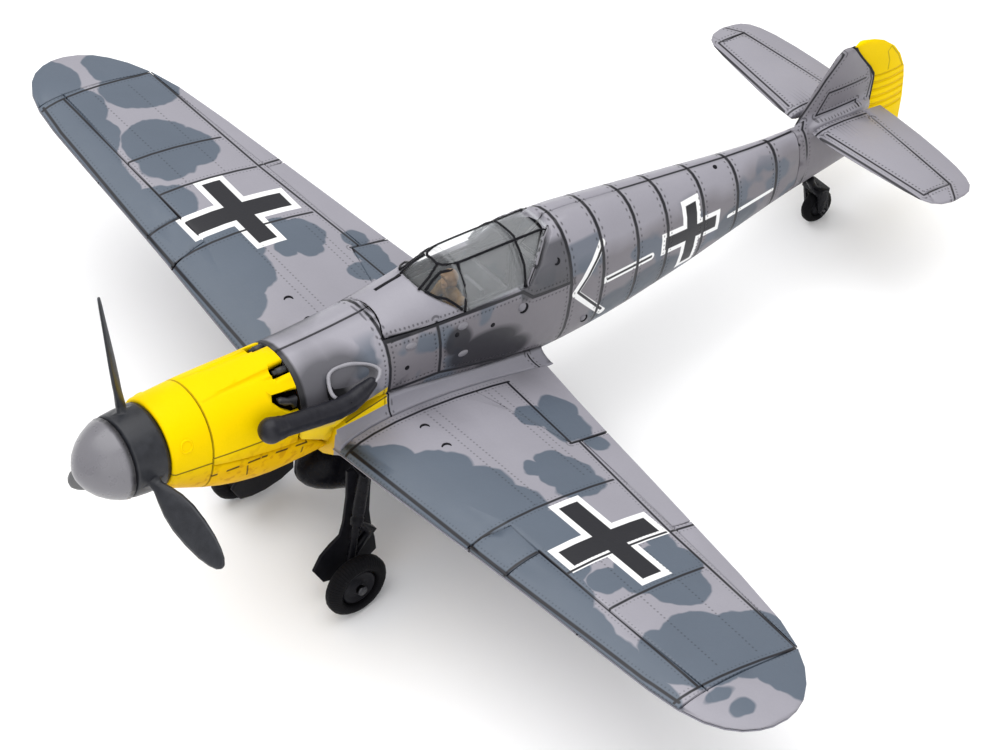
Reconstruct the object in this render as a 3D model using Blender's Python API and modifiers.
"""Propeller plane model: a scale model of a 1940s single-seat tail-wheel fighter.

Shapes are written in an aircraft frame in millimetres: +X port, +Y aft of the
spinner tip, +Z up from the thrust line. place() turns that frame nose-up onto
the three wheels, in metres, with the floor at zero.
"""
import math

import bmesh
import bpy
import numpy as np
from mathutils import Matrix, Vector

MM = 0.001
GAP = 0.3            # clearance between neighbouring pieces
WALL = 1.2           # fuselage skin
COWL_WALL = 1.0
GLASS = 0.6          # clear parts

WHEEL_X = 17.6       # main wheel centre, each side
WHEEL_Y = 46.6
WHEEL_Z = -35.3
WHEEL_R = 6.2
WHEEL_W = 3.2
TAIL_Y = 168.9       # tail wheel centre
TAIL_R = 3.5
GROUND_DEG = 11.8    # nose-up attitude on three wheels
Y_CENTRE = 94.45      # world y = 0 passes here
PROP_Y = 10.6
PROP_R = 27.4
PROP_BASE_DEG = 111.0
TANK_Z = -22.6
TANK_R = 6.2
SILL_Z = 7.2

TH = math.radians(GROUND_DEG)
TYRE_SEG = 28        # facets round a main tyre; one of them lies flat on the floor
TAIL_SEG = 22
FLOOR = WHEEL_Z * math.cos(TH) - WHEEL_Y * math.sin(TH) - WHEEL_R * math.cos(math.pi / TYRE_SEG)
TAIL_Z = (FLOOR + TAIL_R * math.cos(math.pi / TAIL_SEG) + TAIL_Y * math.sin(TH)) / math.cos(TH)

# aircraft y: half width, top z, bottom z, z of the widest line, lower squareness
BODY = [
    (14.0, 7.9, 7.9, -7.9, 0.0, 2.0),
    (21.5, 8.4, 8.4, -11.2, -0.6, 2.25),
    (28.0, 8.6, 8.5, -13.4, -0.8, 2.4),
    (35.0, 8.6, 8.5, -14.6, -0.8, 2.5),
    (42.0, 8.7, 8.6, -14.4, -0.5, 2.5),
    (50.0, 8.8, 9.0, -13.9, 0.0, 2.5),
    (58.0, 8.9, 9.8, -13.8, 0.5, 2.5),
    (66.0, 9.0, 11.6, -13.7, 0.8, 2.5),
    (80.0, 9.0, 14.0, -13.6, 1.0, 2.5),
    (97.0, 8.9, 14.7, -13.4, 1.0, 2.5),
    (105.0, 8.6, 14.0, -12.9, 1.0, 2.5),
    (114.0, 8.0, 12.9, -12.0, 1.0, 2.5),
    (122.0, 7.3, 12.0, -10.9, 1.0, 2.4),
    (131.0, 6.5, 11.0, -9.3, 1.0, 2.4),
    (140.5, 5.4, 10.0, -7.5, 1.0, 2.3),
    (151.5, 4.0, 9.3, -5.6, 1.4, 2.2),
    (158.0, 3.3, 9.4, -4.5, 1.8, 2.2),
    (168.0, 2.4, 9.6, -3.2, 2.4, 2.1),
    (177.0, 1.3, 9.4, -2.0, 2.8, 2.0),
]

# wing x: leading edge y, trailing edge y
WING = [
    (10.0, 46.3, 92.3), (26.0, 47.1, 89.2), (46.0, 48.4, 85.8), (60.0, 49.1, 83.4),
    (75.0, 49.6, 80.8), (84.0, 50.0, 79.0), (90.0, 50.5, 77.2), (95.0, 51.6, 74.8),
    (98.5, 53.2, 72.2), (101.0, 55.3, 69.6), (102.6, 57.8, 66.8), (103.4, 60.6, 63.6),
]
# share of a side panel, aircraft y of its rear or front edge
COWL_BACK = [(0.0, 46.2), (0.636, 46.1), (0.727, 45.4), (0.818, 44.2), (0.909, 42.3), (1.0, 39.7)]
BODY_FRONT = [(0.0, 39.4), (0.571, 39.4), (0.643, 44.2), (0.714, 46.5), (1.0, 46.5)]
WING_STATIONS = [10.6, 22.0, 34.0, 46.0, 60.0, 74.0, 86.0, 92.0, 96.5, 99.5, 101.5, 102.8, 103.4]


def table(rows, at, column):
    """Smooth (Catmull-Rom) reading of one column of a table."""
    xs = [r[0] for r in rows]
    ys = [r[column] for r in rows]
    at = min(max(at, xs[0]), xs[-1])
    i = 0
    while i < len(xs) - 2 and at > xs[i + 1]:
        i += 1
    slopes = []
    for k in (i, i + 1):
        lo = max(k - 1, 0)
        hi = min(k + 1, len(xs) - 1)
        slopes.append((ys[hi] - ys[lo]) / (xs[hi] - xs[lo]))
    h = xs[i + 1] - xs[i]
    u = (at - xs[i]) / h
    a = 2 * u ** 3 - 3 * u ** 2 + 1
    b = u ** 3 - 2 * u ** 2 + u
    c = -2 * u ** 3 + 3 * u ** 2
    d = u ** 3 - u ** 2
    return a * ys[i] + b * h * slopes[0] + c * ys[i + 1] + d * h * slopes[1]


def body_point(y, turn, inset=0.0):
    """Point of the body skin: turn 0 is the top, 1 the bottom, going round by port."""
    w = table(BODY, y, 1) - inset
    top = table(BODY, y, 2) - inset
    low = table(BODY, y, 3) + inset
    mid = table(BODY, y, 4)
    ang = turn * math.pi
    s = math.sin(ang)
    c = math.cos(ang)
    n = 2.1 if c >= 0 else table(BODY, y, 5)
    x = w * abs(s) ** (2.0 / n) * (1 if s >= 0 else -1)
    z = mid + ((top - mid) if c >= 0 else (mid - low)) * abs(c) ** (2.0 / n) * (1 if c >= 0 else -1)
    return Vector((x, y, z))


def body_half_width(y, z):
    lo = 0.5 if z < table(BODY, y, 4) else 0.0
    hi = lo + 0.5
    for _ in range(40):
        m = 0.5 * (lo + hi)
        if body_point(y, m).z > z:
            lo = m
        else:
            hi = m
    return body_point(y, lo).x


# ---------------------------------------------------------------- scene helpers

def clear_scene():
    for ob in list(bpy.data.objects):
        bpy.data.objects.remove(ob, do_unlink=True)
    for block in (bpy.data.meshes, bpy.data.materials, bpy.data.collections):
        for item in list(block):
            block.remove(item)


def new_collection(name):
    col = bpy.data.collections.new(name)
    bpy.context.scene.collection.children.link(col)
    return col


clear_scene()
PARTS = new_collection("propeller_plane_model")
CUTTERS = new_collection("cutters")


def material(name, colour, rough=0.5, metal=0.0, alpha=1.0, trans=0.0):
    mat = bpy.data.materials.get(name)
    if mat:
        return mat
    mat = bpy.data.materials.new(name)
    mat.use_nodes = True
    bsdf = mat.node_tree.nodes["Principled BSDF"]
    bsdf.inputs["Base Color"].default_value = (colour[0], colour[1], colour[2], 1.0)
    bsdf.inputs["Roughness"].default_value = rough
    bsdf.inputs["Metallic"].default_value = metal
    bsdf.inputs["Alpha"].default_value = alpha
    bsdf.inputs["Transmission Weight"].default_value = trans
    return mat


GREY = material("lavender_grey_paint", (0.47, 0.46, 0.52), 0.55)
YELLOW = material("yellow_paint", (1.0, 0.78, 0.0), 0.4)
BLACK = material("black_plastic", (0.012, 0.012, 0.014), 0.3)
CHARCOAL = material("charcoal_paint", (0.03, 0.03, 0.035), 0.45)
SPINNER = material("spinner_grey", (0.3, 0.29, 0.31), 0.45)
CLEAR = material("clear_plastic", (0.9, 0.92, 0.95), 0.05, 0.0, 1.0, 0.9)
DARK = material("cockpit_grey", (0.06, 0.065, 0.07), 0.6)
TYRE = material("tyre_black", (0.015, 0.015, 0.016), 0.7)
STEEL = material("steel_pin", (0.4, 0.4, 0.42), 0.35, 1.0)
FIGURE = material("figure_brown", (0.25, 0.14, 0.06), 0.6)


def place_matrix():
    turn = Matrix(((1, 0, 0), (0, math.cos(TH), math.sin(TH)), (0, -math.sin(TH), math.cos(TH))))
    shift = Vector((0.0, Y_CENTRE, 0.0))
    shift = turn @ shift
    out = turn.to_4x4()
    out.translation = Vector((0.0, -shift.y, -FLOOR))
    return Matrix.Scale(MM, 4) @ out


PLACE = place_matrix()


def world(x, y, z):
    return PLACE @ Vector((x, y, z))


def tidy(ob, mat, smooth=True):
    """Merges doubles, turns the faces outwards and gives the object its material."""
    mesh = ob.data
    bm = bmesh.new()
    bm.from_mesh(mesh)
    bmesh.ops.remove_doubles(bm, verts=bm.verts, dist=1e-4)
    bmesh.ops.dissolve_degenerate(bm, dist=1e-4, edges=bm.edges)
    bmesh.ops.recalc_face_normals(bm, faces=bm.faces)
    bm.to_mesh(mesh)
    bm.free()
    if mat:
        mesh.materials.append(mat)
    if smooth:
        mesh.shade_smooth()
    return ob


def make(name, verts, faces, mat, col=None, smooth=True):
    """A skin lofted between rings or rows of points, where no primitive or modifier makes it."""
    mesh = bpy.data.meshes.new(name)
    mesh.from_pydata([tuple(v) for v in verts], [], [tuple(f) for f in faces])
    ob = bpy.data.objects.new(name, mesh)
    (col or PARTS).objects.link(ob)
    return tidy(ob, mat, smooth)


def loft(name, rings, mat, col=None, smooth=True):
    """Closed rings of equal count joined in order, with flat ends."""
    n = len(rings[0])
    verts = [p for ring in rings for p in ring]
    faces = []
    for r in range(len(rings) - 1):
        a = r * n
        b = a + n
        for k in range(n):
            j = (k + 1) % n
            faces.append((a + k, a + j, b + j, b + k))
    faces.append(tuple(range(n))[::-1])
    faces.append(tuple(range((len(rings) - 1) * n, len(rings) * n)))
    return make(name, verts, faces, mat, col, smooth)


def open_shell(name, outer, inner, mat, col=None):
    """Two grids of points (rows of equal length) joined round their border."""
    rows = len(outer)
    n = len(outer[0])
    verts = [p for row in outer for p in row] + [p for row in inner for p in row]
    off = rows * n
    faces = []
    for r in range(rows - 1):
        for k in range(n - 1):
            a = r * n + k
            b = a + n
            faces.append((a, a + 1, b + 1, b))
            faces.append((off + a, off + b, off + b + 1, off + a + 1))
    for r in range(rows - 1):
        for k in (0, n - 1):
            a = r * n + k
            b = a + n
            faces.append((a, b, off + b, off + a))
    for k in range(n - 1):
        for r in (0, rows - 1):
            a = r * n + k
            faces.append((a, off + a, off + a + 1, a + 1))
    return make(name, verts, faces, mat, col)


def ring_shell(name, outer, inner, mat, col=None):
    """Tube: closed outer and inner rings per station."""
    rows = len(outer)
    n = len(outer[0])
    verts = [p for row in outer for p in row] + [p for row in inner for p in row]
    off = rows * n
    faces = []
    for k in range(n):
        j = (k + 1) % n
        for r in range(rows - 1):
            a = r * n
            b = a + n
            faces.append((a + k, a + j, b + j, b + k))
            faces.append((off + a + k, off + b + k, off + b + j, off + a + j))
        e = (rows - 1) * n
        faces.append((k, off + k, off + j, j))
        faces.append((e + k, e + j, off + e + j, off + e + k))
    return make(name, verts, faces, mat, col)


def turn_profile(name, outline, closed, centre, axis, mat, seg, col, phase=0.0):
    """Turns an (along, radius) outline round an axis with a Screw modifier."""
    axis = Vector(axis).normalized()
    side = axis.cross(Vector((0, 0, 1)))
    if side.length < 0.1:
        side = axis.cross(Vector((0, 1, 0)))
    side.normalize()
    up = axis.cross(side)
    edges = [(k, k + 1) for k in range(len(outline) - 1)]
    if closed:
        edges.append((len(outline) - 1, 0))
    mesh = bpy.data.meshes.new(name)
    mesh.from_pydata([(rad, 0.0, along) for along, rad in outline], edges, [])
    ob = bpy.data.objects.new(name, mesh)
    (col or PARTS).objects.link(ob)
    screw = ob.modifiers.new("turn", 'SCREW')
    screw.axis = 'Z'
    screw.angle = 2 * math.pi
    screw.steps = seg
    screw.render_steps = seg
    screw.use_merge_vertices = True
    screw.merge_threshold = 1e-4
    bpy.context.view_layer.update()
    solid = bpy.data.meshes.new_from_object(ob.evaluated_get(bpy.context.evaluated_depsgraph_get()))
    ob.modifiers.clear()
    frame = Matrix((side, up, axis)).transposed().to_4x4()
    frame.translation = Vector(centre)
    solid.transform(frame @ Matrix.Rotation(phase, 4, 'Z'))
    ob.data = solid
    bpy.data.meshes.remove(mesh)
    solid.name = name
    return tidy(ob, mat)


def revolve(name, profile, centre, axis, mat, seg=32, col=None):
    """Solid of revolution. profile: (along, radius) from one end to the other."""
    outline = list(profile)
    if outline[0][1] > 1e-6:
        outline.insert(0, (outline[0][0], 0.0))
    if outline[-1][1] > 1e-6:
        outline.append((outline[-1][0], 0.0))
    return turn_profile(name, outline, False, centre, axis, mat, seg, col)


def tube_solid(name, profile, centre, axis, mat, seg=32, col=None, phase=0.0):
    """Ring-shaped solid: profile is a closed loop of (along, radius) with no point on the axis."""
    return turn_profile(name, profile, True, centre, axis, mat, seg, col, phase)


def box(name, lo, hi, mat, col=None, bevel=0.0):
    """Block between two corners, from a cube."""
    lo = Vector(lo)
    hi = Vector(hi)
    bm = bmesh.new()
    place = Matrix.Translation((lo + hi) / 2) @ Matrix.Diagonal((*(hi - lo), 1.0))
    bmesh.ops.create_cube(bm, size=1.0, matrix=place)
    if bevel:
        bmesh.ops.bevel(bm, geom=list(bm.edges), offset=bevel, segments=2, profile=0.5, affect='EDGES')
    mesh = bpy.data.meshes.new(name)
    bm.to_mesh(mesh)
    bm.free()
    ob = bpy.data.objects.new(name, mesh)
    (col or PARTS).objects.link(ob)
    return tidy(ob, mat, smooth=False)


def prism(name, pts, direction, mat, col=None, smooth=False):
    """Extrude a polygon of 3-D points along a vector."""
    bm = bmesh.new()
    face = bm.faces.new([bm.verts.new(p) for p in pts])
    grown = bmesh.ops.extrude_face_region(bm, geom=[face], use_keep_orig=True)
    tops = [v for v in grown["geom"] if isinstance(v, bmesh.types.BMVert)]
    bmesh.ops.translate(bm, verts=tops, vec=Vector(direction))
    mesh = bpy.data.meshes.new(name)
    bm.to_mesh(mesh)
    bm.free()
    ob = bpy.data.objects.new(name, mesh)
    (col or PARTS).objects.link(ob)
    return tidy(ob, mat, smooth)


def bevel_mesh(ob, offset, segments=2, angle=35.0):
    bm = bmesh.new()
    bm.from_mesh(ob.data)
    edges = [e for e in bm.edges if len(e.link_faces) == 2 and e.calc_face_angle(0) > math.radians(angle)]
    bmesh.ops.bevel(bm, geom=edges, offset=offset, segments=segments, profile=0.5, affect='EDGES')
    bmesh.ops.dissolve_degenerate(bm, dist=1e-5, edges=bm.edges)
    bm.to_mesh(ob.data)
    bm.free()


def boolean(target, other, op='DIFFERENCE', keep=False):
    mod = target.modifiers.new("cut", 'BOOLEAN')
    mod.operation = op
    mod.solver = 'EXACT'
    mod.object = other
    bpy.context.view_layer.update()
    deps = bpy.context.evaluated_depsgraph_get()
    mesh = bpy.data.meshes.new_from_object(target.evaluated_get(deps))
    mats = [m for m in target.data.materials]
    target.modifiers.clear()
    target.data = mesh
    while len(mesh.materials) > max(1, len(mats)):
        mesh.materials.pop(index=len(mesh.materials) - 1)
    for p in mesh.polygons:
        p.material_index = 0
    bm = bmesh.new()
    bm.from_mesh(mesh)
    bmesh.ops.remove_doubles(bm, verts=bm.verts, dist=1e-4)
    bmesh.ops.dissolve_degenerate(bm, dist=1e-4, edges=bm.edges)
    bm.to_mesh(mesh)
    bm.free()
    if not keep:
        bpy.data.objects.remove(other, do_unlink=True)
    return target


def mirror_copy(ob, name):
    mesh = ob.data.copy()
    mesh.name = name
    for v in mesh.vertices:
        v.co.x = -v.co.x
    mesh.flip_normals()
    new = bpy.data.objects.new(name, mesh)
    PARTS.objects.link(new)
    return new


def linspace(a, b, n):
    return [a + (b - a) * i / (n - 1) for i in range(n)]


# ---------------------------------------------------------------- propeller group

def build_spinner():
    prof = [(0.0, 0.0), (0.12, 0.9), (0.6, 2.2), (1.5, 3.6), (2.8, 4.95), (4.4, 6.08), (6.0, 6.85), (7.2, 7.2)]
    revolve("spinner_cap", prof, (0, 0, 0), (0, 1, 0), SPINNER, 28)


def blade(k):
    ang = math.radians(PROP_BASE_DEG + 120.0 * k)
    radial = Vector((math.cos(ang), 0, math.sin(ang)))
    tangent = Vector((-math.sin(ang), 0, math.cos(ang)))
    aft = Vector((0, 1, 0))
    rows = [(5.0, 2.2, 1.8, 45.0), (8.6, 2.3, 1.7, 43.0), (10.5, 3.6, 1.3, 41.0), (13.0, 5.0, 1.1, 39.0),
            (16.0, 5.8, 0.95, 37.0), (19.5, 5.7, 0.85, 35.0), (22.8, 5.0, 0.75, 33.0), (25.2, 3.8, 0.7, 32.0),
            (26.7, 2.5, 0.6, 31.5), (PROP_R, 1.0, 0.5, 31.0)]
    rings = []
    for r, chord, thick, pitch in rows:
        p = math.radians(pitch)
        cd = tangent * math.cos(p) + aft * math.sin(p)
        nd = tangent * -math.sin(p) + aft * math.cos(p)
        centre = Vector((0, PROP_Y, 0)) + radial * r
        ring = []
        for j in range(10):
            a = 2 * math.pi * j / 10
            ring.append(centre + cd * (0.5 * chord * math.cos(a)) + nd * (0.5 * thick * math.sin(a)))
        rings.append(ring)
    return loft("blade_cut%d" % k, rings, CHARCOAL, CUTTERS)


def build_propeller():
    prof = [(7.5, 1.6), (7.5, 7.05), (8.2, 7.25), (10.6, 7.45), (13.0, 7.55), (13.7, 7.5), (13.7, 1.6)]
    hub = tube_solid("propeller", prof, (0, 0, 0), (0, 1, 0), CHARCOAL, 26)
    for k in range(3):
        boolean(hub, blade(k), 'UNION')
    shaft = [(7.5 + 0.1, 0.0), (7.6, 1.1), (7.8, 1.3), (23.6, 1.3), (24.0, 1.0), (24.0, 0.0)]
    revolve("prop_shaft", shaft, (0, 0, 0), (0, 1, 0), STEEL, 32)
    plate = [(14.1, 1.6), (14.1, 6.4), (16.6, 6.6), (16.6, 3.4), (22.0, 3.0), (22.0, 1.6)]
    tube_solid("nose_bearing", plate, (0, 0, 0), (0, 1, 0), DARK, 22)


# ---------------------------------------------------------------- cowling

def body_ring(y, inset, n=56):
    return [body_point(y, 2.0 * k / n if k <= n // 2 else 2.0 * k / n, inset) for k in range(n)]


def full_turn(y, turn, inset):
    """turn runs -1..1, port positive."""
    p = body_point(y, abs(turn), inset)
    if turn < 0:
        p.x = -p.x
    return p


def build_cowling():
    n = 36
    ys = [14.0, 14.5, 21.35]
    ins = [0.3, 0.0, 0.0]
    outer = [[full_turn(y, -1 + 2.0 * k / n, i) for k in range(n)] for y, i in zip(ys, ins)]
    inner = [[full_turn(y, -1 + 2.0 * k / n, COWL_WALL) for k in range(n)] for y in ys]
    ring_shell("cowl_front_ring", outer, inner, YELLOW)

    def edge_turn(y):
        return 0.535 + 0.0022 * (y - 21.0)

    rows_o = []
    rows_i = []
    for s in linspace(0, 1, 7):
        row_o = []
        row_i = []
        for u in linspace(-1, 1, 23):
            back = 39.1 - 0.5 * abs(u) ** 3
            y = 21.65 + (back - 21.65) * s
            t = u * edge_turn(y)
            row_o.append(full_turn(y, t, 0.0))
            row_i.append(full_turn(y, t, COWL_WALL))
        rows_o.append(row_o)
        rows_i.append(row_i)
    upper = open_shell("cowl_upper", rows_o, rows_i, YELLOW)
    for sx in (-1, 1):
        cut = prism("gun_cut", [(sx * 2.1, 36.2, 6.0), (sx * 2.1, 36.2, 12.0), (sx * 4.5, 35.7, 12.0),
                                (sx * 4.5, 35.7, 6.0)], (0, 8.0, 0), None, CUTTERS)
        boolean(upper, cut)
        groove = revolve("trough_cut", [(24.0, 0.0), (26.0, 0.55), (36.6, 0.95), (36.6, 0.0)],
                         (sx * 3.3, 0, 8.3), (0, 1, 0), None, 20, CUTTERS)
        boolean(upper, groove)
    notch = [(5.0, 34.2, 5.8), (5.0, 33.9, 4.8), (5.0, 35.4, 3.2), (5.0, 37.6, 1.6), (5.0, 40.0, 1.6),
             (5.0, 40.0, 5.3), (5.0, 37.0, 5.5)]
    cut = prism("side_cut", notch, (6.0, 0, 0), None, CUTTERS)
    boolean(upper, cut)

    rows_o = []
    rows_i = []
    for s in linspace(0, 1, 8):
        row_o = []
        row_i = []
        for u in linspace(-1, 1, 23):
            back = lin(COWL_BACK, abs(u), 1)
            y = 21.65 + (back - 21.65) * s
            start = edge_turn(y) + 0.011
            t = 1.0 - abs(u) * (1.0 - start)
            sx = 1 if u >= 0 else -1
            po = full_turn(y, sx * t, 0.0)
            pi = full_turn(y, sx * t, COWL_WALL)
            row_o.append(po)
            row_i.append(pi)
        rows_o.append(row_o)
        rows_i.append(row_i)
    open_shell("cowl_lower", rows_o, rows_i, YELLOW)

    for k, sx in enumerate((-1, 1)):
        prof = [(36.5, 0.0), (36.5, 0.42), (37.2, 0.42), (37.2, 0.62), (38.9, 0.62), (38.9, 0.0)]
        revolve("gun_barrel_left" if sx > 0 else "gun_barrel_right", prof, (sx * 3.3, 0, 7.3), (0, 1, 0),
                STEEL, 20)
    hook = [(6.7, 34.9, 5.1), (6.7, 35.7, 5.1), (6.7, 37.1, 4.3), (6.7, 38.7, 4.3), (6.7, 38.7, 2.2),
            (6.7, 37.9, 2.2), (6.7, 37.6, 3.2), (6.7, 36.2, 3.5), (6.7, 35.0, 4.5)]
    prism("cowl_latch", hook, (0.9, 0, 0), GREY)
    wall = [body_point(42.6, 2.0 * k / 40, WALL + 0.38) for k in range(40)]
    back = [p + Vector((0, 1.0, 0)) for p in wall]
    for p in wall:
        p.y = 42.6
    loft("firewall", [wall, back], DARK, smooth=False)


# ---------------------------------------------------------------- fuselage

def fillet_z(y):
    """Height of the line where the side skin ends above the wing root."""
    return -2.3 - 7.4 * max(0.0, (y - 58.0)) / 36.0


def build_fuselage():
    n = 14
    rows_o = []
    rows_i = []
    ys = linspace(0, 1, 22)
    for s in ys:
        row_o = []
        row_i = []
        for k in range(n + 1):
            t = k / n
            first = lin(BODY_FRONT, t, 1)
            y = first + (157.7 - first) * s
            po = body_point(y, t, 0.0)
            pi = body_point(y, t, WALL)
            po.x = max(po.x, 0.0) + (GAP / 2 if k in (0, n) else 0.0)
            pi.x = max(pi.x, 0.0) + (GAP / 2 if k in (0, n) else 0.0)
            row_o.append(po)
            row_i.append(pi)
        rows_o.append(row_o)
        rows_i.append(row_i)
    half = open_shell("fuselage_left", rows_o, rows_i, GREY)
    side = [(-12, 57.1, SILL_Z), (-12, 88.4, SILL_Z), (-12, 96.3, 14.3), (-12, 96.3, 22), (-12, 60.5, 22),
            (-12, 58.5, 10.0)]
    boolean(half, prism("cockpit_cut", side, (24, 0, 0), None, CUTTERS))
    belly = [(-12, 46.2, -20), (-12, 46.2, fillet_z(46.2) - 3.4), (-12, 52.0, fillet_z(52.0)),
             (-12, 58.0, fillet_z(58.0)), (-12, 94.3, fillet_z(94.3)), (-12, 94.3, -20)]
    boolean(half, prism("belly_cut", belly, (24, 0, 0), None, CUTTERS))
    mirror_copy(half, "fuselage_right")


# ---------------------------------------------------------------- wing

def wing_row(x):
    le = table(WING, x, 1)
    te = table(WING, x, 2)
    zmid = -10.7 + 0.0865 * (x - 9.0)
    zle = zmid + 0.0152 * (te - le)
    zte = zmid - 0.0152 * (te - le)
    tc = 0.142 - 0.033 * min(x, 95.0) / 95.0
    return le, te, zle, zte, tc


def aero(u, tc):
    """Half thickness of the section at chord fraction u."""
    return 5 * tc * (0.2969 * math.sqrt(u) - 0.126 * u - 0.3516 * u * u + 0.2843 * u ** 3 - 0.1015 * u ** 4)


def wing_surface(x, u, upper):
    le, te, zle, zte, tc = wing_row(x)
    chord = te - le
    camber = 0.016 * 4 * u * (1 - u) * chord
    h = aero(u, tc) * chord
    base = zle + (zte - zle) * u + camber
    tip = 1.0
    if x > 95.0:
        tip = math.sqrt(max(0.02, 1 - ((x - 95.0) / 8.6) ** 2))
    z = base + (h * tip if upper else -h * tip)
    return Vector((x, le + chord * u, z))


def wing_mid(x, u):
    a = wing_surface(x, u, True)
    b = wing_surface(x, u, False)
    return (a + b) * 0.5


CHORD_U = [0.0, 0.006, 0.025, 0.065, 0.13, 0.23, 0.36, 0.52, 0.7, 0.86, 1.0]


def wing_half(name, upper, stations, col=None):
    rings = []
    for x in stations:
        skin = []
        flat = []
        for u in CHORD_U:
            s = wing_surface(x, u, upper)
            m = wing_mid(x, u)
            sign = 1 if upper else -1
            h = abs(s.z - m.z)
            edge = 0.16 if 0.0 < u < 1.0 else 0.0
            base = m.z + sign * min(GAP / 2, GAP / 2)
            s.z = base + sign * max(h - GAP / 2, 0.22)
            if u == 0.0:
                s.z = base + sign * 0.22
            skin.append(s)
            flat.append(Vector((x, s.y, base)))
        rings.append(skin + flat[::-1])
    return loft(name, rings, GREY, col)


def root_top(y):
    """Height of the wing upper surface at the root rib."""
    le, te, _, _, _ = wing_row(10.6)
    u = min(max((y - le) / (te - le), 0.0), 1.0)
    return wing_surface(10.6, u, True).z


def root_low(y):
    le, te, _, _, _ = wing_row(10.6)
    u = min(max((y - le) / (te - le), 0.0), 1.0)
    return wing_surface(10.6, u, False).z


def build_wing():
    up = wing_half("wing_upper_left", True, WING_STATIONS)
    grooves(up)
    mirror_copy(up, "wing_upper_right")

    stations = [8.6] + WING_STATIONS[1:]
    low = wing_half("wing_lower", False, stations)
    other = mirror_copy(low, "lower_cut")
    rings = []
    for y in [46.6, 47.2, 48.4, 50.2, 53.0, 57.0, 62.0, 68.0, 74.0, 80.0, 86.0, 90.0, 92.0, 93.2, 94.0]:
        zf = fillet_z(y) - GAP
        if y < 58.0:
            zf = fillet_z(58.0) - GAP - 3.4 * (58.0 - y) / 11.4
        if y < 52.2:
            zf = min(zf, fillet_z(46.2) - 3.4 - GAP + (y - 46.2) * 3.4 / 5.8 - 0.2)
        xf = body_half_width(y, zf)
        zt = root_top(y)
        zl = root_low(y)
        if y > 92.2:
            zt = zl = -11.5
        pts = [Vector((0, y, zf)), Vector((xf, y, zf))]
        for f in (0.2, 0.45, 0.7, 0.88):
            px = xf + (10.3 - xf) * f ** 1.7
            pz = zf + (zt - zf) * (1 - (1 - f) ** 1.7)
            pts.append(Vector((px, y, pz)))
        pts.append(Vector((10.3, y, max(zt, zl + 0.1))))
        pts.append(Vector((10.3, y, min(zt - 0.1, zl))))
        zb = table(BODY, y, 3)
        pts.append(Vector((8.4, y, min(zl - 0.15, 0.5 * (zl + zb) + 0.4))))
        pts.append(Vector((5.6, y, zb + 0.55)))
        pts.append(Vector((2.6, y, zb + 0.1)))
        pts.append(Vector((0, y, zb)))
        ring = pts + [Vector((-p.x, p.y, p.z)) for p in pts[1:-1]][::-1]
        rings.append(ring)
    centre = loft("centre_cut", rings, GREY, CUTTERS)
    boolean(low, other, 'UNION')
    boolean(low, centre, 'UNION')


def grooves(ob):
    """Engraved outlines of slat, aileron and flaps in the upper skin."""
    lines = [
        ((52.4, 49.0), (52.4, 55.6)), ((52.4, 55.6), (92.6, 56.3)),
        ((92.4, 51.0), (92.4, 77.6)), ((58.3, 79.8), (92.2, 76.0)), ((58.3, 79.8), (58.6, 84.2)),
        ((31.9, 82.2), (58.3, 79.8)), ((31.9, 80.0), (31.9, 88.4)),
        ((17.8, 76.0), (31.9, 80.0)), ((17.8, 76.0), (12.0, 74.4)),
        ((43.0, 47.9), (44.4, 56.0)), ((44.4, 56.0), (52.4, 55.6)),
    ]
    for k, (a, b) in enumerate(lines):
        pa = Vector((a[0], a[1], 0))
        pb = Vector((b[0], b[1], 0))
        d = (pb - pa).normalized()
        pa -= d * 0.1
        pb += d * 0.1
        s = Vector((-d.y, d.x, 0)) * 0.17
        steps = max(2, int((pb - pa).length / 11.0) + 1)
        rings = []
        for t in linspace(0, 1, steps):
            c = pa.lerp(pb, t)
            le, te, _, _, _ = wing_row(c.x)
            u = min(max((c.y - le) / (te - le), 0.002), 0.998)
            z = wing_surface(c.x, u, True).z
            depth = 0.34 if u < 0.9 else 0.2
            rings.append([Vector((c.x - s.x, c.y - s.y, z - depth)), Vector((c.x + s.x, c.y + s.y, z - depth)),
                          Vector((c.x + s.x, c.y + s.y, z + 1.5)), Vector((c.x - s.x, c.y - s.y, z + 1.5))])
        boolean(ob, loft("groove_cut%d" % k, rings, None, CUTTERS, False))


def build_radiators():
    rings = []
    for x in linspace(20.0, 36.0, 7):
        edge = min(1.0, 0.55 + 0.45 * min(x - 20.0, 36.0 - x) / 2.6)
        top = []
        low = []
        for y in linspace(63.0, 80.0, 8):
            le, te, _, _, _ = wing_row(x)
            u = (y - le) / (te - le)
            z = wing_surface(x, u, False).z - 0.32
            deep = (0.6 + 2.2 * math.sin(math.pi * min(1.0, (y - 61.5) / 12.0) * 0.5)) * edge
            deep *= 1.0 - 0.62 * max(0.0, (y - 70.0) / 10.0)
            top.append(Vector((x, y, z)))
            low.append(Vector((x, y, z - deep)))
        rings.append(top + low[::-1])
    loft("radiator_left", rings, GREY)
    mirror_copy(bpy.data.objects["radiator_left"], "radiator_right")


# ---------------------------------------------------------------- tail

FIN = [(5.0, 158.3, 177.0), (8.0, 158.3, 177.0), (10.4, 158.3, 177.0), (15.3, 161.0, 177.0), (17.3, 162.1, 175.8),
       (19.3, 163.7, 174.1), (21.4, 165.2, 172.25), (22.8, 166.3, 171.15), (23.7, 167.8, 170.4)]
RUD = [(-2.6, 178.4, 183.6), (-1.4, 177.4, 185.9), (1.3, 177.4, 187.4), (6.9, 177.4, 187.2), (11.8, 177.4, 186.5),
       (14.4, 177.4, 185.9), (15.7, 177.25, 185.2), (17.8, 175.8, 184.1), (20.3, 173.5, 182.0), (22.6, 171.6, 178.8),
       (23.7, 170.9, 176.2), (24.3, 171.7, 174.0)]


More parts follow.
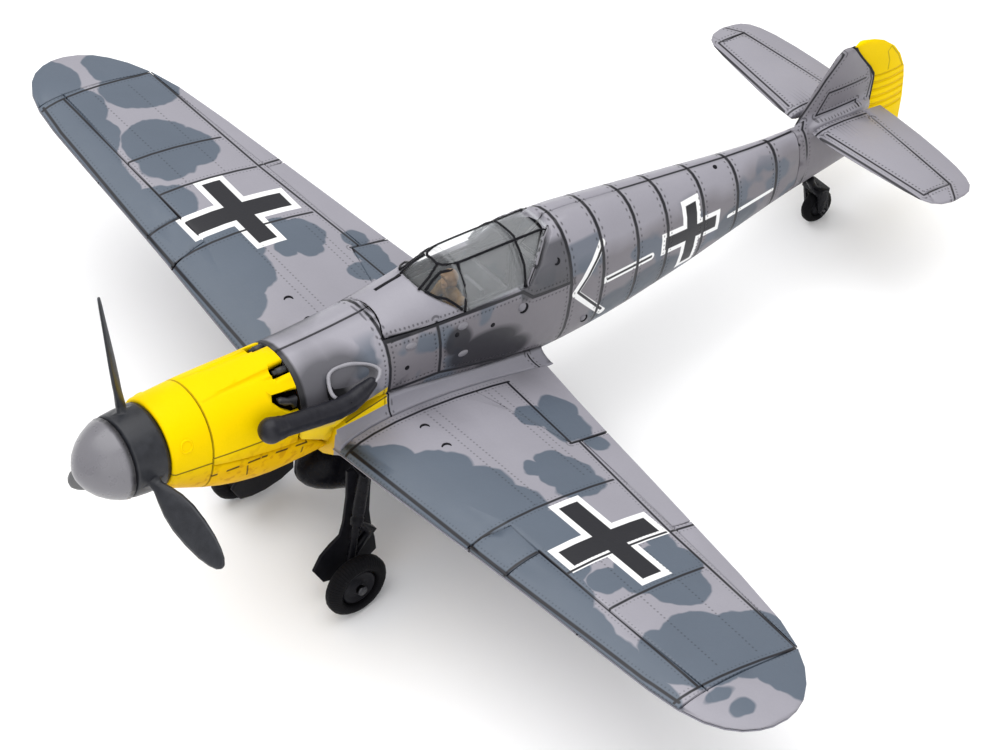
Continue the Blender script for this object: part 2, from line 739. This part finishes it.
def fin_rings(rows, thick, back):
    rings = []
    for z, y0, y1 in rows:
        top = (z - rows[0][0]) / (rows[-1][0] - rows[0][0])
        t = thick * (1 - 0.5 * top)
        ring = []
        us = [0.0, 0.06, 0.2, 0.45, 0.7, 1.0]
        hs = [0.12, 0.5, 0.85, 1.0, 1.0 - 0.2 * back, 1.0 - back]
        for u, h in zip(us, hs):
            ring.append(Vector((0.5 * t * h, y0 + (y1 - y0) * u, z)))
        for u, h in list(zip(us, hs))[::-1]:
            ring.append(Vector((-0.5 * t * h, y0 + (y1 - y0) * u, z)))
        rings.append(ring)
    return rings


def build_tail():
    rings = []
    for y in [158.0, 161.0, 164.0, 168.0, 172.0, 175.0, 177.0]:
        rings.append([full_turn(y, -1 + 2.0 * k / 28, 0.0) for k in range(28)])
    tail = loft("tail_section", rings, GREY)
    boolean(tail, loft("fin_cut", fin_rings(FIN, 2.4, 0.35), GREY, CUTTERS), 'UNION')
    saddle = []
    for y, w, lo, hi in [(160.9, 1.5, 8.4, 9.9), (162.0, 2.5, 8.0, 10.9), (164.5, 2.7, 7.8, 11.2),
                         (170.0, 2.7, 7.6, 11.2), (174.0, 2.3, 7.6, 11.0), (176.9, 1.2, 7.8, 10.4)]:
        mid = 0.5 * (lo + hi)
        ring = []
        for k in range(16):
            a = 2 * math.pi * k / 16
            c = math.cos(a)
            s = math.sin(a)
            ring.append(Vector((w * abs(c) ** 0.6 * (1 if c >= 0 else -1), y,
                                mid + (hi - mid) * abs(s) ** 0.6 * (1 if s >= 0 else -1))))
        saddle.append(ring)
    boolean(tail, loft("saddle_cut", saddle, GREY, CUTTERS), 'UNION')

    rud = fin_rings(RUD, 1.8, 0.75)
    rudder = loft("rudder", rud, YELLOW)
    rudder.data.update()

    rows = [(3.0, 160.1, 177.9, 2.1), (8.0, 160.2, 177.9, 2.0), (14.0, 160.9, 177.7, 1.8), (20.0, 161.8, 177.2, 1.6),
            (25.0, 162.6, 176.5, 1.4), (28.4, 163.3, 175.6, 1.25), (30.4, 164.3, 174.6, 1.1), (31.6, 165.8, 173.2, 0.9),
            (32.1, 167.6, 171.4, 0.6)]
    rings = []
    for x, le, te, t in rows:
        up = []
        lo = []
        for u in (0.0, 0.02, 0.08, 0.2, 0.4, 0.62, 0.82, 1.0):
            h = max(aero(u, 1.0) * t, 0.1 if u else 0.02)
            y = le + (te - le) * u
            up.append(Vector((x, y, 9.7 + h)))
            lo.append(Vector((x, y, 9.7 - h)))
        rings.append(up + lo[::-1])
    stab = loft("tailplane_left", rings, GREY)
    for a, b in [((3.6, 173.4), (28.4, 171.0)), ((28.4, 171.0), (28.0, 165.4)), ((28.0, 165.4), (32.4, 164.6))]:
        pa = Vector((a[0], a[1], 0))
        pb = Vector((b[0], b[1], 0))
        d = (pb - pa).normalized()
        s = Vector((-d.y, d.x, 0)) * 0.15
        ring0 = []
        ring1 = []
        for c, out in ((pa - d * 0.1, ring0), (pb + d * 0.1, ring1)):
            near = min(rows, key=lambda r: abs(r[0] - c.x))
            u = min(max((c.y - near[1]) / (near[2] - near[1]), 0.02), 0.98)
            z = 9.7 + aero(u, 1.0) * near[3]
            for off, zz in ((-1, z - 0.22), (1, z - 0.22), (1, z + 1.2), (-1, z + 1.2)):
                out.append(Vector((c.x + off * s.x, c.y + off * s.y, zz)))
        boolean(stab, loft("stab_cut", [ring0, ring1], None, CUTTERS, False))
    mirror_copy(stab, "tailplane_right")


# ---------------------------------------------------------------- canopy and cockpit

ROOF = [(71.5, 2.1, 14.6), (75.0, 2.8, 14.6), (80.0, 2.9, 14.6), (87.5, 2.9, 14.5), (96.6, 3.1, 14.3)]
DECK_Y = 67.0        # windscreen foot
# share of the way from roof centre to sill, aircraft y where the glass is fully up
SCREEN = [0.0, 0.28, 0.54, 0.61, 0.69, 0.765, 0.84, 0.92, 1.0]
RISE = [71.5, 71.5, 71.5, 72.7, 73.9, 73.9, 73.9]


def lin(rows, at, column):
    at = min(max(at, rows[0][0]), rows[-1][0])
    for a, b in zip(rows, rows[1:]):
        if at <= b[0]:
            f = (at - a[0]) / (b[0] - a[0])
            return a[column] + (b[column] - a[column]) * f
    return rows[-1][column]


def sill_turn(y):
    """Turn of the body skin that lies at the sill."""
    lo = 0.0
    hi = 0.5
    for _ in range(30):
        m = 0.5 * (lo + hi)
        if body_point(y, m).z > SILL_Z + GAP:
            lo = m
        else:
            hi = m
    return lo


def canopy_point(y, t, inset=0.0):
    """t 0 is the roof centre, 1 the port sill. Ahead of DECK_Y the part follows the body skin."""
    up = max(y, ROOF[0][0])
    h = lin(ROOF, up, 1)
    zr = lin(ROOF, up, 2)
    end = sill_turn(y)
    sill = body_point(y, end).x
    sill_z = SILL_Z + GAP
    knee = (0.52 * sill + 0.48 * h + 0.75, 0.5 * (sill_z + zr) + 0.1)
    pts = [(0.0, zr + 0.25), (h * 0.6, zr + 0.17), (h, zr), (0.5 * (h + knee[0]) + 0.15, 0.5 * (zr + knee[1]) + 0.1),
           knee, (0.5 * (knee[0] + sill) + 0.12, 0.5 * (knee[1] + sill_z)), (sill, sill_z)]
    row = []
    for k in range(7):
        f = min(1.0, max(0.0, (y - DECK_Y) / (RISE[k] - DECK_Y)))
        deck = body_point(y, end * k / 6.0)
        row.append((deck.x + (pts[k][0] - deck.x) * f, deck.z + (pts[k][1] - deck.z) * f))
    f = t * 6.0
    i = min(int(f), 5)
    f -= i
    x = row[i][0] + (row[i + 1][0] - row[i][0]) * f
    z = row[i][1] + (row[i + 1][1] - row[i][1]) * f
    if inset:
        k = min(1.0, t * 1.6)
        x = max(0.0, x - inset * (0.15 + 0.85 * k))
        if t < 0.999:
            z -= inset * (1.0 - 0.75 * k)
    return Vector((x, y, z))


def canopy_shell(name, y_first, y_last, rows, mat, thick=GLASS, lift=0.0):
    outer = []
    inner = []
    for s in rows if isinstance(rows, list) else linspace(0, 1, rows):
        row_o = []
        row_i = []
        for k in range(-6, 7):
            t = abs(k) / 6.0
            y = y_first(t) + (y_last(t) - y_first(t)) * s
            a = canopy_point(y, t, -lift)
            b = canopy_point(y, t, thick)
            if k < 0:
                a.x = -a.x
                b.x = -b.x
            row_o.append(a)
            row_i.append(b)
        outer.append(row_o)
        inner.append(row_i)
    return open_shell(name, outer, inner, mat)


def build_canopy():
    canopy_shell("windscreen", lambda t: 58.9 - 1.3 * t * t, lambda t: 73.9 - 0.4 * t, SCREEN, CLEAR)
    canopy_shell("windscreen_bow", lambda t: 74.2 - 0.4 * t, lambda t: 74.9 - 0.4 * t, 2, BLACK, 0.8)
    canopy_shell("sliding_hood", lambda t: 75.2 - 0.4 * t, lambda t: 86.4 - 0.8 * t, 4, CLEAR)


def build_rear_canopy():
    canopy_shell("hood_bow", lambda t: 86.7 - 0.8 * t, lambda t: 87.4 - 0.8 * t, 2, BLACK, 0.8)

    def last(t):
        f = max(0.0, (t - 2.0 / 6.0) / (4.0 / 6.0))
        return 95.2 - 7.5 * f

    def first(t):
        return 87.7 - 0.8 * t

    canopy_shell("rear_window", first, lambda t: max(last(t) - 1.65, first(t) + 0.05), 4, CLEAR)
    canopy_shell("rear_bow", lambda t: last(t) - 0.6, last, 2, BLACK, 0.8)


def build_cockpit():
    outer = []
    for z, w, y0, y1 in [(-4.0, 5.2, 67.5, 84.0), (0.0, 5.8, 66.6, 85.0), (6.4, 5.8, 66.0, 85.6)]:
        outer.append([(w, y0, z), (w, y1, z), (-w, y1, z), (-w, y0, z)])
    tub = loft("cockpit_tub", [[Vector(p) for p in r] for r in outer], DARK, smooth=False)
    cut = loft("tub_cut", [[Vector((p[0] * 0.87, 75.9 + (p[1] - 75.9) * 0.91, z)) for p in r]
                           for r, z in zip(outer, (-3.2, 0.0, 9.0))], None, CUTTERS, False)
    boolean(tub, cut)
    seat = [(-2.6, 79.0, -2.9), (-2.6, 82.6, -2.9), (-2.6, 82.6, 5.2), (-2.6, 81.6, 5.2), (-2.6, 81.3, -0.9),
            (-2.6, 76.6, -1.2), (-2.6, 76.6, -2.0), (-2.6, 79.0, -1.9)]
    s = prism("seat", seat, (5.2, 0, 0), DARK)
    bevel_mesh(s, 0.18, 1)
    panel = [(-4.6, 68.2, 1.0), (4.6, 68.2, 1.0), (4.6, 68.2, 6.4), (3.0, 68.2, 7.4), (-3.0, 68.2, 7.4),
             (-4.6, 68.2, 6.4)]
    prism("instrument_panel", panel, (0, 0.8, 0), DARK)
    revolve("control_stick", [(0.0, 0.0), (0.0, 0.32), (4.4, 0.26), (4.8, 0.42), (6.0, 0.42), (6.2, 0.0)],
            (0, 73.4, -2.9), (0, 0.06, 1), DARK, 16)


def build_pilot():
    torso = [(-0.4, 2.5, 1.5, 79.0), (0.8, 2.7, 1.6, 78.9), (2.6, 3.0, 1.6, 79.2), (4.4, 3.3, 1.6, 79.4),
             (5.7, 3.0, 1.5, 79.5), (6.4, 1.9, 1.2, 79.5), (6.9, 0.9, 0.85, 79.4)]
    rings = []
    for z, a, b, yc in torso:
        rings.append([Vector((a * math.cos(2 * math.pi * k / 14), yc + b * math.sin(2 * math.pi * k / 14), z))
                      for k in range(14)])
    body = loft("pilot", rings, FIGURE)
    head = []
    for k in range(7):
        a = math.pi * (k + 0.5) / 7
        r = 1.5 * math.sin(a)
        z = 8.4 - 1.85 * math.cos(a)
        ring = []
        for j in range(14):
            b = 2 * math.pi * j / 14
            nose = 0.28 * math.exp(-((b - 1.5 * math.pi) / 0.3) ** 2 - ((z - 8.2) / 0.5) ** 2)
            ring.append(Vector(((r * 0.92) * math.cos(b), 79.5 + (r * 1.08 + nose) * math.sin(b), z)))
        head.append(ring)
    boolean(body, loft("head_cut", head, FIGURE, CUTTERS), 'UNION')
    for sx in (-1, 1):
        arm = [(2.2, 79.7, 5.2, 0.95), (3.3, 79.0, 3.6, 0.9), (3.4, 77.4, 2.2, 0.8), (2.0, 75.4, 2.0, 0.7)]
        boolean(body, sweep("arm_cut", arm, sx), 'UNION')
        leg = [(1.2, 79.6, 0.7, 1.1), (1.7, 76.8, 0.9, 1.05), (1.9, 74.4, 0.6, 0.95), (1.9, 72.2, -1.4, 0.8)]
        boolean(body, sweep("leg_cut", leg, sx), 'UNION')


def sweep(name, path, sx=1, seg=8):
    """Round limb through (x, y, z, radius) points."""
    pts = [Vector((sx * x, y, z)) for x, y, z, _ in path]
    rings = []
    for i, p in enumerate(pts):
        d = (pts[min(i + 1, len(pts) - 1)] - pts[max(i - 1, 0)]).normalized()
        a = d.cross(Vector((sx * 0.3, 0.2, 1.0))).normalized()
        b = d.cross(a)
        r = path[i][3]
        rings.append([p + a * (r * math.cos(2 * math.pi * k / seg)) + b * (r * math.sin(2 * math.pi * k / seg))
                      for k in range(seg)])
    return loft(name, rings, FIGURE, CUTTERS)


# ---------------------------------------------------------------- intake

# rim of the scoop mouth: aft, outboard
MOUTH = [(-4.9, -1.0), (-3.4, -2.5), (0.2, -3.1), (3.6, -2.3), (6.0, -0.6), (4.8, 0.9), (1.4, 2.2), (-1.8, 3.5),
         (-4.0, 3.2), (-5.0, 1.2)]


def build_intake():
    ball = Vector((11.35, 30.8, 3.4))
    end = Vector((11.35, 45.0, 1.6))
    axis = end - ball
    length = axis.length
    prof = []
    for k in range(7):
        a = math.pi * 0.5 * k / 6
        prof.append((-2.3 * math.cos(a), 2.3 * math.sin(a)))
    prof += [(1.0, 2.23), (1.5, 1.94), (1.9, 1.9), (length - 0.3, 1.9), (length, 1.6), (length, 0.0)]
    revolve("air_filter", prof, ball, axis, BLACK, 20)

    centre = Vector((9.3, 49.5, 4.2))
    normal = Vector((0.55, -0.02, 0.835)).normalized()
    aft = Vector((0, 1, 0)) - normal * normal.y
    aft.normalize()
    out = aft.cross(normal)
    seg = 20
    mouth = []
    for k in range(seg):
        i = k // 2
        a, b, c, d = (Vector(MOUTH[(i + j) % len(MOUTH)]).to_3d() for j in (-1, 0, 1, 2))
        u = 0.5 * (k % 2)
        p = 0.5 * (2 * b + (c - a) * u + (2 * a - 5 * b + 4 * c - d) * u * u + (3 * b - a - 3 * c + d) * u ** 3)
        mouth.append(p)
    outer = []
    inner = []
    for depth, f in [(0.0, 1.0), (-0.5, 1.03), (-1.4, 0.99), (-2.6, 0.86), (-3.7, 0.62), (-4.4, 0.34)]:
        outer.append([centre + normal * depth + aft * (p.x * f) + out * (p.y * f) for p in mouth])
    for depth, f in [(0.0, 0.85), (-0.6, 0.84), (-1.4, 0.78), (-2.4, 0.62), (-3.2, 0.36)]:
        inner.append([centre + normal * depth + aft * (p.x * f) + out * (p.y * f) for p in mouth])
    verts = []
    faces = []
    loops = inner[::-1] + outer
    for row in loops:
        verts += row
    for r in range(len(loops) - 1):
        a = r * seg
        b = a + seg
        for k in range(seg):
            j = (k + 1) % seg
            faces.append((a + k, a + j, b + j, b + k))
    faces.append(tuple(range(seg)))
    e = (len(loops) - 1) * seg
    faces.append(tuple(range(e, e + seg)))
    scoop = make("intake_scoop", verts, faces, GREY)
    rings = []
    for y in linspace(40.0, 60.0, 9):
        ring = []
        for k in range(28):
            p = body_point(y, min(0.98, 0.02 + 0.96 * k / 27), 0.0)
            p.x += 0.38
            ring.append(p)
        ring.append(Vector((-2, y, -13)))
        ring.append(Vector((-2, y, 8)))
        rings.append(ring)
    boolean(scoop, loft("body_cut", rings, None, CUTTERS))
    tube = revolve("tube_cut", [(-4.0, 0.0), (-4.0, 2.75), (length + 0.35, 2.75), (length + 0.35, 0.0)], ball, axis, None,
                   32, CUTTERS)
    boolean(scoop, tube)
    filt = bpy.data.objects["air_filter"]
    boolean(filt, loft("body_cut2", [[p.copy() for p in r] for r in body_rings_for_cut()], None, CUTTERS))


def body_rings_for_cut():
    rings = []
    for y in linspace(24.0, 60.0, 13):
        ring = []
        for k in range(28):
            p = body_point(y, min(0.98, 0.02 + 0.96 * k / 27), 0.0)
            p.x += 0.38
            ring.append(p)
        ring.append(Vector((-2, y, -13)))
        ring.append(Vector((-2, y, 8)))
        rings.append(ring)
    return rings


# ---------------------------------------------------------------- landing gear

def build_gear():
    top = Vector((12.8, 50.4, -13.2))
    low = Vector((WHEEL_X - 2.7, WHEEL_Y + 0.3, WHEEL_Z))
    axis = low - top
    length = axis.length
    prof = [(0.0, 0.0), (0.0, 1.15), (9.5, 1.15), (10.0, 0.95), (10.4, 1.25), (11.6, 1.25), (12.0, 0.75),
            (length - 2.2, 0.75), (length - 1.8, 1.0), (length + 0.6, 1.0), (length + 1.0, 0.7), (length + 1.0, 0.0)]
    leg = revolve("gear_leg_left", prof, top, axis, BLACK, 14)
    pad = box("pad_cut", (11.65, 48.5, -13.4), (14.9, 52.5, -12.75), BLACK, CUTTERS)
    boolean(leg, pad, 'UNION')
    stub = revolve("stub_cut", [(14.4, 0.0), (14.4, 1.3), (15.65, 1.3), (15.65, 0.0)], (0, WHEEL_Y, WHEEL_Z), (1, 0, 0),
                   BLACK, 16, CUTTERS)
    boolean(leg, stub, 'UNION')
    link = [(13.8, 49.2, -24.1), (13.8, 52.4, -27.0), (13.8, 51.6, -27.8), (13.8, 47.8, -31.9), (13.8, 47.8, -30.5),
            (13.8, 50.6, -27.2), (13.8, 48.4, -25.1)]
    boolean(leg, prism("link_cut", link, (1.2, 0, 0), BLACK, CUTTERS), 'UNION')
    bore = revolve("bore_cut", [(13.0, 0.0), (13.0, 0.8), (18.0, 0.8), (18.0, 0.0)], (0, WHEEL_Y, WHEEL_Z), (1, 0, 0),
                   BLACK, 16, CUTTERS)
    boolean(leg, bore)

    def door_x(z):
        return 10.6 + (-14.0 - z) * 0.075

    outline = [(47.8, -14.3), (53.3, -14.3), (52.9, -20.0), (52.8, -25.0), (53.4, -29.0), (54.2, -31.8), (54.6, -34.6),
               (52.0, -36.2), (48.5, -37.2), (45.5, -37.3), (43.1, -36.8), (40.9, -33.4), (42.4, -30.8), (44.4, -29.2),
               (46.5, -28.0), (47.2, -25.4), (47.8, -20.0)]
    pts = [Vector((door_x(z), y, z)) for y, z in outline]
    door = prism("gear_door_left", pts, (0.7, 0, 0.0), BLACK)
    bevel_mesh(door, 0.12, 1, 60)

    axle = [(13.6, 0.0), (13.6, 0.5), (19.35, 0.5), (19.35, 1.0), (19.75, 0.9), (19.75, 0.0)]
    revolve("axle_left", axle, (0, WHEEL_Y, WHEEL_Z), (1, 0, 0), STEEL, 14)
    w = WHEEL_W / 2
    cx = WHEEL_X
    hub = [(cx - w + 0.2, 0.8), (cx - w + 0.2, 3.2), (cx - w + 0.5, 3.5), (cx + w - 0.7, 3.5),
           (cx + w - 0.5, 3.1), (cx + w - 1.1, 2.6), (cx + w - 0.9, 1.4), (cx + w - 0.3, 1.2), (cx + w - 0.3, 0.8)]
    tube_solid("wheel_hub_left", hub, (0, WHEEL_Y, WHEEL_Z), (1, 0, 0), SPINNER, 20)
    r = WHEEL_R
    tyre = [(cx - w + 0.25, 3.8), (cx - w, 4.5), (cx - w + 0.15, 5.3), (cx - w + 0.65, 5.9), (cx - 0.5, r), (cx + 0.5, r),
            (cx + w - 0.65, 5.9), (cx + w - 0.15, 5.3), (cx + w, 4.5), (cx + w - 0.25, 3.8)]
    flat = math.pi / 2 + TH - math.pi / TYRE_SEG
    tube_solid("tyre_left", tyre, (0, WHEEL_Y, WHEEL_Z), (1, 0, 0), TYRE, TYRE_SEG, None, flat)
    for part in ("gear_leg", "gear_door", "axle", "wheel_hub", "tyre"):
        mirror_copy(bpy.data.objects[part + "_left"], part + "_right")


def build_tail_wheel():
    z0 = TAIL_Z
    fork = []
    for y, z, w, t in [(165.0, -4.1, 1.0, 1.1), (165.8, -5.6, 0.9, 0.9), (167.0, -7.4, 0.95, 0.95)]:
        ring = []
        for k in range(16):
            a = 2 * math.pi * k / 16
            ring.append(Vector((w * math.cos(a), y + t * math.sin(a), z)))
        fork.append(ring)
    ob = loft("tail_wheel_fork", fork, BLACK)
    yoke = box("yoke_cut", (-2.2, 166.2, -8.0), (2.2, 169.3, -7.1), BLACK, CUTTERS)
    boolean(ob, yoke, 'UNION')
    for sx in (-1, 1):
        arm = [(sx * 1.5, 166.4, -7.6), (sx * 1.5, 169.1, -7.6), (sx * 1.5, TAIL_Y + 1.2, z0), (sx * 1.5, TAIL_Y, z0 - 1.3),
               (sx * 1.5, TAIL_Y - 1.2, z0)]
        boolean(ob, prism("arm_cut", arm, (sx * 0.7, 0, 0), BLACK, CUTTERS), 'UNION')
    hole = revolve("hole_cut", [(-3.0, 0.0), (-3.0, 0.6), (3.0, 0.6), (3.0, 0.0)], (0, TAIL_Y, z0), (1, 0, 0), BLACK, 20,
                   CUTTERS)
    boolean(ob, hole)
    revolve("tail_axle", [(-2.3, 0.0), (-2.3, 0.3), (2.3, 0.3), (2.3, 0.0)], (0, TAIL_Y, z0), (1, 0, 0), STEEL, 20)
    hub = [(-0.75, 0.6), (-0.75, 1.75), (0.75, 1.75), (0.75, 0.6)]
    tube_solid("tail_wheel_hub", hub, (0, TAIL_Y, z0), (1, 0, 0), SPINNER, 18)
    r = TAIL_R
    prof = [(-0.85, 2.05), (-1.1, 2.5), (-0.95, 3.1), (-0.45, r), (0.45, r), (0.95, 3.1), (1.1, 2.5), (0.85, 2.05)]
    flat = math.pi / 2 + TH - math.pi / TAIL_SEG
    tube_solid("tail_wheel_tyre", prof, (0, TAIL_Y, z0), (1, 0, 0), TYRE, TAIL_SEG, None, flat)


def build_tank():
    prof = [(0.0, 0.0)]
    for k in range(1, 8):
        a = math.pi * 0.5 * k / 7
        prof.append((14.0 * (1 - math.cos(a)), TANK_R * math.sin(a)))
    for k in range(1, 8):
        a = math.pi * 0.5 * k / 7
        prof.append((27.0 + 19.0 * math.sin(a), TANK_R * math.cos(a) if k < 7 else 0.0))
    revolve("drop_tank", prof, (0, 45.8, TANK_Z), (0, 1, 0), BLACK, 24)
    rack = [(-1.5, 60.5, -16.0), (1.5, 60.5, -16.0), (1.1, 60.5, -14.25), (-1.1, 60.5, -14.25)]
    r = prism("tank_rack", rack, (0, 12.0, 0), BLACK)
    bevel_mesh(r, 0.1, 1)


def finish():
    for ob in list(CUTTERS.objects):
        bpy.data.objects.remove(ob, do_unlink=True)
    pivots = {
        "spinner_cap": (0, PROP_Y, 0), "propeller": (0, PROP_Y, 0), "prop_shaft": (0, PROP_Y, 0),
        "tail_wheel_hub": (0, TAIL_Y, TAIL_Z), "tail_wheel_tyre": (0, TAIL_Y, TAIL_Z),
    }
    for side, sx in (("left", 1), ("right", -1)):
        for part in ("wheel_hub_", "tyre_"):
            pivots[part + side] = (sx * WHEEL_X, WHEEL_Y, WHEEL_Z)
    for ob in PARTS.objects:
        ob.data.name = ob.name
        ob.data.transform(PLACE)
        pivot = pivots.get(ob.name)
        if pivot:
            at = world(*pivot)
            ob.data.transform(Matrix.Translation(-at))
            ob.location = at
    bpy.context.view_layer.update()


build_spinner()
build_propeller()
build_cowling()
build_fuselage()
build_wing()
build_radiators()
build_tail()
build_canopy()
build_rear_canopy()
build_cockpit()
build_pilot()
build_intake()
build_gear()
build_tail_wheel()
build_tank()
finish()
